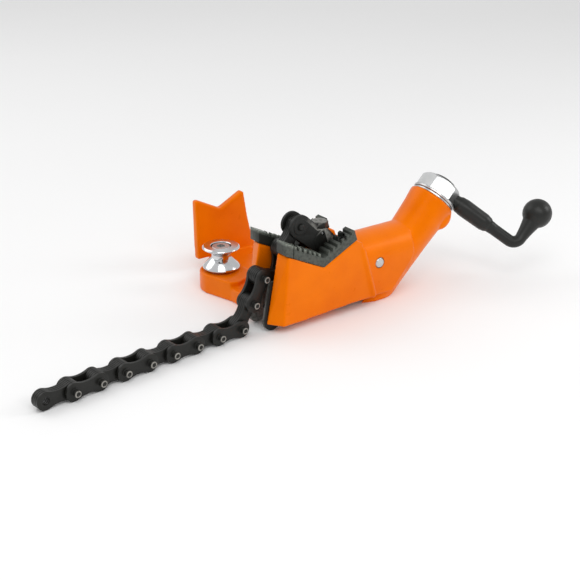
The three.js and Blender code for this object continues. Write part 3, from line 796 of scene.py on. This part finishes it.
def rivet(sizes):
    """A pin whose end is spread to a ring round a shallow cup."""
    end = [(0, 12.5), (1.35, 12.5), (1.75, 13.0), (2.3, 13.4), (2.9, 13.15), (3.2, 12.6), (3.2, 8.9),
           (3.7, 8.6), (3.7, 8.2)]
    profile = [*end, *[(r, -z) for r, z in end[::-1]]]
    pin = turned("pin", profile, 32, across(0, 0))
    mark_wear_and_light(pin, lambda x, y, z: float(abs(y) > 13.0))
    pitch = sizes.chain_pitch / MM
    return row(pin, 2, (0, 0, 0), (-pitch, 0, 0), "chain")


def outer_link(sizes):
    """Two thick plates on two riveted pins."""
    leaf = link_plate(sizes, -8.1, -5.1, 3.1, 0.55)
    plates = row(leaf, 2, (0, 0, 0), (0, 13.2, 0), "chain")
    return joined(plates, rivet(sizes))


def link_places(sizes):
    """Where each link lies at rest."""
    at = Matrix.Translation((ANCHOR[0], 0, ANCHOR[1]))
    for heading, yaw in zip(HEADINGS, SIDEWAYS):
        sideways = Matrix.Rotation(math.radians(yaw), 4, "Z")
        upwards = Matrix.Rotation(math.radians(180 - heading), 4, "Y")
        place = Matrix.Translation(at.translation) @ sideways @ upwards
        yield place
        at = place @ Matrix.Translation((-sizes.chain_pitch / MM, 0, 0))


def copy_of(obj, name):
    fresh = bpy.data.objects.new(name, obj.data.copy())
    bpy.context.scene.collection.objects.link(fresh)
    return fresh


# ------------------------------------------------------------------ properties
class ViseSizes(bpy.types.PropertyGroup):
    """Sizes of the visible detail."""
    chain_pitch: FloatProperty(name="Chain pitch", description="Distance between the pins of a link",
                               default=0.0254, unit="LENGTH")
    ball_radius: FloatProperty(name="Ball radius", description="Radius of the ball on the crank",
                               default=0.015, unit="LENGTH")
    laminations: IntProperty(name="Laminations", description="Plates in each inner link", default=4, min=1)
    cast_grain: FloatProperty(name="Cast grain", description="Cell size of the casting's surface",
                              default=0.0009, unit="LENGTH")
    cast_softness: IntProperty(name="Cast softness", description="How far the casting's edges are melted",
                               default=18, min=0)


def colour_property(name, description, hex_colour):
    return FloatVectorProperty(name=name, description=description, default=linear(hex_colour),
                               subtype="COLOR", size=3, min=0, max=1)


class ViseColours(bpy.types.PropertyGroup):
    """Colours of the finishes."""
    enamel: colour_property("Enamel", "Orange enamel of the casting", "#EE7500")
    enamel_deep: colour_property("Deep enamel", "Orange where the enamel lies thick", "#E36A00")
    jaw: colour_property("Jaw steel", "Phosphated steel of the jaws", "#262924")
    chain: colour_property("Chain steel", "Oiled steel of the chain", "#1B1B18")
    black: colour_property("Black steel", "Black oxide of the end block and hooks", "#171815")
    crank: colour_property("Crank", "Satin black of the crank", "#161714")
    bright: colour_property("Bright steel", "Machined steel of the hub nut and pins", "#C9CACA")
    chrome: colour_property("Chrome", "Plating of the bending roller", "#DDDEE0")
    floor: colour_property("Floor", "Pale studio floor", "#FAFAFA")


# ------------------------------------------------------------------ operators
class ViseOperator:
    bl_options = {"REGISTER", "UNDO"}

    def execute(self, context):
        self.build(context.scene.vise_sizes)
        return {"FINISHED"}


class VISE_OT_casting(ViseOperator, bpy.types.Operator):
    """Casts, machines and paints the body"""
    bl_idname = "vise.casting"
    bl_label = "Casting"

    def build(self, sizes):
        body = machined_casting(sizes)
        body.name = "painted_casting"
        finished(body, "orange", "base", "orange_enamel", "body_casting", angle=38)
        pin = rod("neck_guide_pin", 5, -24.9, 24.9, across(*GUIDE_PIN), 64, 0.7)
        finished(pin, "bright", "base", "bright_steel", "guide_pin")


class VISE_OT_jaws(ViseOperator, bpy.types.Operator):
    """Cuts the two serrated jaws and their screws"""
    bl_idname = "vise.jaws"
    bl_label = "Jaws"

    def build(self, sizes):
        for name, side in (("front_jaw", -1), ("rear_jaw", 1)):
            piece = jaw(side)
            piece.name = name + "_serrated"
            finished(piece, "jaw", "base", "jaw_steel", name)
            for label, x in JAW_SCREWS.items():
                screw = socket_screw(on_limb(x, side), 2.5, -13.5, -0.2, 4.3, -4.2, 2.3)
                screw.name = f"{name}_socket_screw_{label}"
                finished(screw, "black", "base", "black_steel", f"{name}_screw_{label}")


class VISE_OT_hooks(ViseOperator, bpy.types.Operator):
    """Makes the chain hooks in the mouth of the channel"""
    bl_idname = "vise.hooks"
    bl_label = "Chain hooks"

    def build(self, sizes):
        for name, side in (("front_chain_hook", -1), ("rear_chain_hook", 1)):
            piece = hook(side)
            piece.name = name + "_plate"
            finished(piece, "black", "base", "black_steel", name)
            sideways = Matrix.Rotation(math.radians(-90 * side), 4, "X")
            for label, z in HOOK_SCREWS.items():
                screw = rod("screw", 2.4, 9.4, 22, None, 32, 0.3)
                placed(screw, Matrix.Translation((HOOK_SCREW_X, 0, z)) @ sideways)
                screw.name = f"{name}_pin_{label}"
                finished(screw, "black", "base", "black_steel", f"{name}_screw_{label}")


class VISE_OT_drive(ViseOperator, bpy.types.Operator):
    """Eases the edges of the hidden drive inside the neck and barrel"""
    bl_idname = "vise.drive"
    bl_label = "Drive"

    def build(self, sizes):
        rows = [("draw_screw", "bright", "draw_screw", "bright_steel"),
                ("screw_clevis_pin", "bright", "draw_screw", "bright_steel"),
                ("rocker", "black", "rocker", "black_steel"),
                ("draw_bar", "black", "draw_bar", "black_steel"),
                ("draw_bar_pin", "bright", "draw_bar", "bright_steel"),
                ("barrel_bush", "bronze", "base", "bronze"),
                ("retaining_ring", "black", "crank", "black_steel")]
        for node, finish, body, slot in rows:
            finished(softened(node, 0.3), finish, body, slot, node)


class VISE_OT_end_block(ViseOperator, bpy.types.Operator):
    """Forges the end block that holds the chain's first link, with its bolt and pins"""
    bl_idname = "vise.end_block"
    bl_label = "End block"

    def build(self, sizes):
        block = end_block()
        block.name = "end_block_forging"
        finished(block, "black", "draw_bar", "black_steel", "end_block")
        bolt = hex_bolt()
        bolt.name = "end_block_hex_bolt"
        finished(bolt, "black", "draw_bar", "black_steel", "end_block_bolt")
        pin = turned("anchor_rivet", [(0, -10.4), (2.2, -10.6), (2.9, -10.2), (3.2, -9.6), (3.2, 9.6),
                                      (2.9, 10.2), (2.2, 10.6), (0, 10.4)], 48, across(*ANCHOR))
        finished(pin, "black", "draw_bar", "black_steel", "chain_anchor_pin")
        peg = rod("end_block_peg", 1.4, -8.0, 8.0, across(*BLOCK_PEG), 24, 0.4)
        finished(peg, "bright", "draw_bar", "bright_steel")


class VISE_OT_hub(ViseOperator, bpy.types.Operator):
    """Turns the hub nut, its washer and the lock pin"""
    bl_idname = "vise.hub"
    bl_label = "Hub nut"

    def build(self, sizes):
        nut = hub_nut()
        nut.name = "hub_nut_turned"
        finished(nut, "hub", "crank", "bright_steel", "hub_nut", angle=20)
        washer = turned("thrust_washer_ring", [(12.8, 0.3), (22.2, 0.3), (22.5, 0.6), (22.5, 2.0),
                                               (22.2, 2.3), (12.8, 2.3)], 128, BARREL)
        finished(washer, "hub", "base", "bright_steel", "thrust_washer")
        cap = turned("hub_nut_cap", [(0, 20.9), (13.6, 20.9), (14, 21.3), (14, 22.2), (12.4, 23.4),
                                     (9.5, 24.4), (5, 25), (0, 25.2)], 96, CRANK)
        finished(cap, "black", "crank", "black_steel", "hub_cap")
        lock = rod("crank_lock_peg", 2, 7, 20.3, CRANK, 32, 0.3)
        finished(lock, "hub", "crank", "bright_steel", "crank_lock_pin")


class VISE_OT_crank(ViseOperator, bpy.types.Operator):
    """Forges the crank with its ball"""
    bl_idname = "vise.crank"
    bl_label = "Crank"

    def build(self, sizes):
        piece = crank(sizes)
        piece.name = "crank_forging"
        finished(piece, "crank", "crank", "black_steel", "crank_handle", angle=50)


class VISE_OT_chain(ViseOperator, bpy.types.Operator):
    """Lays out the chain of laminated and riveted links"""
    bl_idname = "vise.chain"
    bl_label = "Chain"

    def build(self, sizes):
        patterns = (inner_link(sizes), outer_link(sizes))
        for i, place in enumerate(link_places(sizes)):
            node = f"chain_link_{i + 1:02d}"
            link = placed(copy_of(patterns[i % 2], node + "_plates"), place)
            finished(link, "chain", node, "chain_steel", node)
        for pattern in patterns:
            bpy.data.objects.remove(pattern)


class VISE_OT_roller(ViseOperator, bpy.types.Operator):
    """Turns the waisted bending roller on its socket bolt"""
    bl_idname = "vise.roller"
    bl_label = "Bending roller"

    def build(self, sizes):
        here = upright(*ROLLER)
        cone = [(18.5 - 8.6 * t ** 1.1, 24.0 + 9.0 * t) for t in [i / 12 for i in range(13)]]
        flare = [(9.7 + 8.6 * t ** 1.5, 36.4 + 6.4 * t) for t in [i / 12 for i in range(13)]]
        waist = [*cone, (9.6, 34.6), *flare]
        profile = [(6.3, 22.5), (17.6, 22.5), (18.4, 22.8), (18.7, 23.4), *waist, (18.7, 43.3),
                   (18.7, 44.0), (18.3, 44.6), (17.2, 45.4), (10.7, 45.4), (10.1, 44.8), (10.0, 38.8),
                   (6.3, 38.8)]
        roller = turned("bend_roller_chromed", profile, 128, here)
        finished(roller, "chrome", "bend_roller", "chrome", "bend_roller")
        washer = turned("roller_washer_ring", [(6.3, 20.3), (10.7, 20.3), (11, 20.6), (11, 21.9),
                                               (10.7, 22.2), (6.3, 22.2)], 96, here)
        finished(washer, "bright", "base", "bright_steel", "roller_washer")
        bolt = socket_screw(here, 6, 2, 44.6, 9.2, 39.1, 4.6)
        bolt.name = "roller_socket_bolt"
        finished(bolt, "bright", "base", "bright_steel", "roller_bolt")


class VISE_OT_stage(ViseOperator, bpy.types.Operator):
    """Sets the pale floor, the soft light and the camera"""
    bl_idname = "vise.stage"
    bl_label = "Stage"

    def build(self, sizes):
        scene = bpy.context.scene
        floor = plate("floor", [(-4000, -4000), (4000, -4000), (4000, 4000), (-4000, 4000)], -12, -0.1)
        material, tree, shader, place = new_material("pale_matt_floor")
        connect(tree, shader, Roughness=0.8, Base_Color=blend(
            tree, noise(tree, place, 1.5), opaque(scene.vise_colours.floor), opaque(linear("#F6F6F6"))))
        floor.data.materials.append(material)
        # Name, place in metres, width in metres and power in watts of each lamp.
        lights = [("key", (-0.55, -0.75, 1.3), 0.9, 5.4), ("side", (1.1, -0.65, 0.7), 0.5, 3.4),
                  ("card", (-0.05, -0.98, 0.74), 0.3, 1.1), ("back", (-0.7, 1.2, 1.2), 1.2, 5.5)]
        for name, where, size, power in lights:
            data = bpy.data.lights.new(name, "AREA")
            data.size, data.energy = size, power
            lamp = bpy.data.objects.new(name, data)
            lamp.location = where
            aim = Vector((0.02, 0, 0.05)) - Vector(where)
            lamp.rotation_euler = aim.to_track_quat("-Z", "Y").to_euler()
            scene.collection.objects.link(lamp)
        world = bpy.data.worlds.new("studio")
        world.use_nodes = True
        sky = world.node_tree.nodes["Background"]
        sky.inputs["Color"].default_value = (1, 1, 1, 1)
        sky.inputs["Strength"].default_value = 0.7
        scene.world = world
        scene.view_settings.view_transform = "Standard"
        azimuth, elevation = math.radians(-36.3), math.radians(23.5)
        back = Vector((math.sin(azimuth) * math.cos(elevation), -math.cos(azimuth) * math.cos(elevation),
                       math.sin(elevation)))
        data = bpy.data.cameras.new("camera")
        data.lens, data.sensor_width = 69.25, 36.0
        camera = bpy.data.objects.new("camera", data)
        camera.location = (-0.590085, -0.777636, 0.448010)
        camera.rotation_euler = (-back).to_track_quat("-Z", "Y").to_euler()
        scene.collection.objects.link(camera)
        scene.camera = camera


OPERATORS = (VISE_OT_casting, VISE_OT_jaws, VISE_OT_hooks, VISE_OT_drive, VISE_OT_end_block, VISE_OT_hub,
             VISE_OT_crank, VISE_OT_chain, VISE_OT_roller, VISE_OT_stage)


class VISE_PT_panel(bpy.types.Panel):
    """Buttons and sizes of the vise"""
    bl_label = "Bench chain vise"
    bl_idname = "VISE_PT_panel"
    bl_space_type = "VIEW_3D"
    bl_region_type = "UI"
    bl_category = "Vise"

    def draw(self, context):
        for group in (context.scene.vise_sizes, context.scene.vise_colours):
            for name in group.__annotations__:
                self.layout.prop(group, name)
        for operator in OPERATORS:
            self.layout.operator(operator.bl_idname)


CLASSES = (ViseSizes, ViseColours, *OPERATORS, VISE_PT_panel)


def register():
    for cls in CLASSES:
        bpy.utils.register_class(cls)
    bpy.types.Scene.vise_sizes = PointerProperty(type=ViseSizes)
    bpy.types.Scene.vise_colours = PointerProperty(type=ViseColours)


def unregister():
    del bpy.types.Scene.vise_colours
    del bpy.types.Scene.vise_sizes
    for cls in reversed(CLASSES):
        bpy.utils.unregister_class(cls)


def main():
    register()
    for operator in OPERATORS:
        getattr(bpy.ops.vise, operator.bl_idname.split(".")[1])()


if __name__ == "__main__":
    main()
